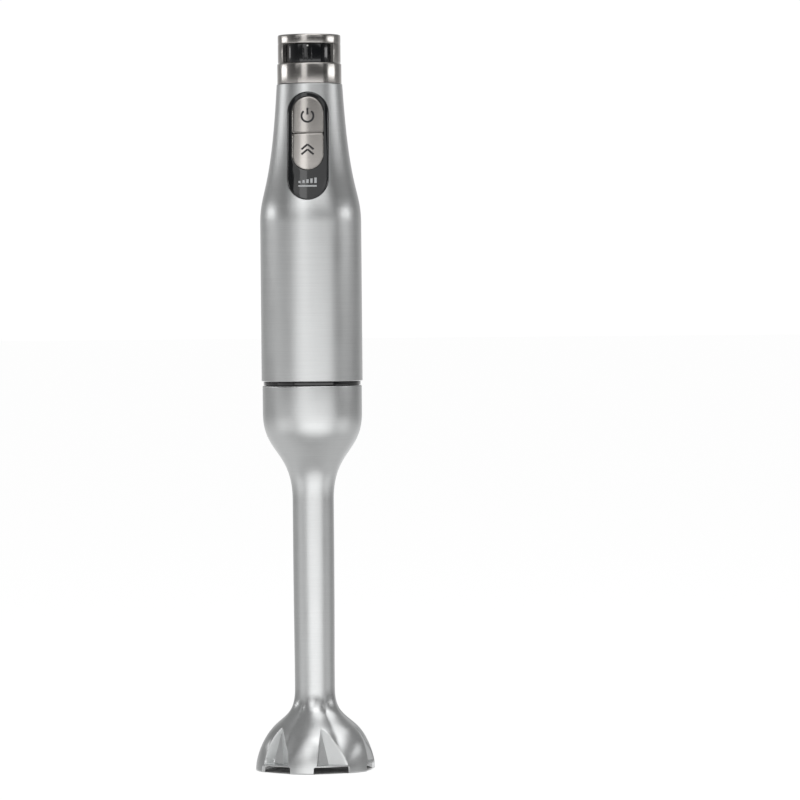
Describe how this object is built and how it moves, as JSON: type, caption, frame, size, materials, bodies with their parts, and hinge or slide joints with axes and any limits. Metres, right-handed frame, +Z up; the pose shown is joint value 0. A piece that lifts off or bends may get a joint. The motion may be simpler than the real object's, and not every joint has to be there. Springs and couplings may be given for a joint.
{
  "type": "immersion blender",
  "caption": "Steel stick blender with a rotary speed knob, two front buttons, a twist-off leg and a ribbed foot bell around a flat blade.",
  "frame": {"origin": "centre of the foot's resting plane, on the long axis", "axes": "+Z up the long axis from the foot to the knob, -Y out of the control panel, +X to the right as the panel is faced"},
  "size_m": [0.067, 0.0676, 0.41],
  "materials": {
    "satin_steel": "satin brushed stainless steel",
    "warm_steel": "finely turned steel, slightly warm",
    "plain_steel": "plain machined steel",
    "gloss_black": "polished black plastic",
    "matt_black": "moulded black plastic",
    "grey_plastic": "moulded grey plastic",
    "white_plastic": "moulded natural plastic",
    "rubber": "soft black rubber",
    "copper": "enamelled copper",
    "brass": "sintered bronze and brass",
    "ferrite": "grey ferrite",
    "carbon": "pressed carbon",
    "circuit_board": "green laminate"
  },
  "bodies": {
    "handle": {"handle_sleeve": "satin_steel", "top_collar": "warm_steel", "chassis_front": "grey_plastic", "chassis_rear": "grey_plastic", "chassis_screw_lower_left": "plain_steel", "chassis_screw_lower_right": "plain_steel", "chassis_screw_upper_left": "plain_steel", "chassis_screw_upper_right": "plain_steel", "socket_screw_1": "plain_steel", "socket_screw_2": "plain_steel", "socket_screw_3": "plain_steel", "leg_socket": "matt_black", "cord_gland": "rubber", "control_bezel": "gloss_black", "button_membrane": "rubber", "control_board": "circuit_board", "power_switch": "matt_black", "turbo_switch": "matt_black", "suppression_capacitor": "brass", "speed_potentiometer": "matt_black", "motor_can": "plain_steel", "magnet_right": "ferrite", "magnet_left": "ferrite", "motor_lower_bell": "plain_steel", "motor_upper_bell": "white_plastic", "lower_bearing": "plain_steel", "upper_bush": "brass", "carbon_brush_right": "carbon", "carbon_brush_left": "carbon", "brush_holder_right": "brass", "brush_holder_left": "brass", "brush_spring_right": "plain_steel", "brush_spring_left": "plain_steel"},
    "speed_knob": {"knob_core": "gloss_black", "knob_cap": "warm_steel", "knob_grip_right": "warm_steel", "knob_grip_left": "warm_steel", "knob_spindle": "plain_steel"},
    "power_key": {"power_button": "warm_steel"},
    "turbo_key": {"turbo_button": "warm_steel"},
    "rotor": {"motor_shaft": "plain_steel", "armature_core": "plain_steel", "winding_lower": "copper", "winding_upper": "copper", "commutator": "copper", "cooling_fan": "white_plastic", "drive_coupling": "matt_black"},
    "leg_carrier": {"seam_gasket": "gloss_black"},
    "leg": {"leg_neck": "matt_black", "leg_shell": "satin_steel", "foot_bell": "satin_steel", "upper_leg_bush": "brass", "upper_shaft_seal": "rubber", "lower_leg_bush": "brass", "lower_shaft_seal": "rubber"},
    "blade_shaft": {"drive_shaft": "plain_steel", "leg_coupling": "matt_black", "blade": "plain_steel", "blade_collar": "plain_steel", "blade_nut": "plain_steel"}
  },
  "joints": [
    {"name": "speed_dial", "type": "hinge", "parent": "handle", "child": "speed_knob", "pos_m": [0, 0, 0.4], "axis": [0, 0, 1], "range_deg": [-135, 135]},
    {"name": "power_press", "type": "slide", "parent": "handle", "child": "power_key", "axis": [0, 1, 0], "range_m": [0, 0.0012], "stiffness_N_per_m": 900, "springref_m": -0.0008},
    {"name": "turbo_press", "type": "slide", "parent": "handle", "child": "turbo_key", "axis": [0, 1, 0], "range_m": [0, 0.0012], "stiffness_N_per_m": 900, "springref_m": -0.0008},
    {"name": "rotor_spin", "type": "hinge", "parent": "handle", "child": "rotor", "pos_m": [0, 0, 0.285], "axis": [0, 0, 1], "continuous": true},
    {"name": "leg_release", "type": "slide", "parent": "handle", "child": "leg_carrier", "axis": [0, 0, -1], "range_m": [0, 0.012]},
    {"name": "leg_twist", "type": "hinge", "parent": "leg_carrier", "child": "leg", "pos_m": [0, 0, 0.22], "axis": [0, 0, -1], "range_deg": [0, 90]},
    {"name": "blade_spin", "type": "hinge", "parent": "leg", "child": "blade_shaft", "pos_m": [0, 0, 0.1], "axis": [0, 0, 1], "continuous": true}
  ],
  "couplings": [
    {"joint": "leg_release", "follows": "leg_twist", "m_per_rad": 0.0076394},
    {"joint": "blade_spin", "follows": "rotor_spin", "ratio": 1}
  ]
}
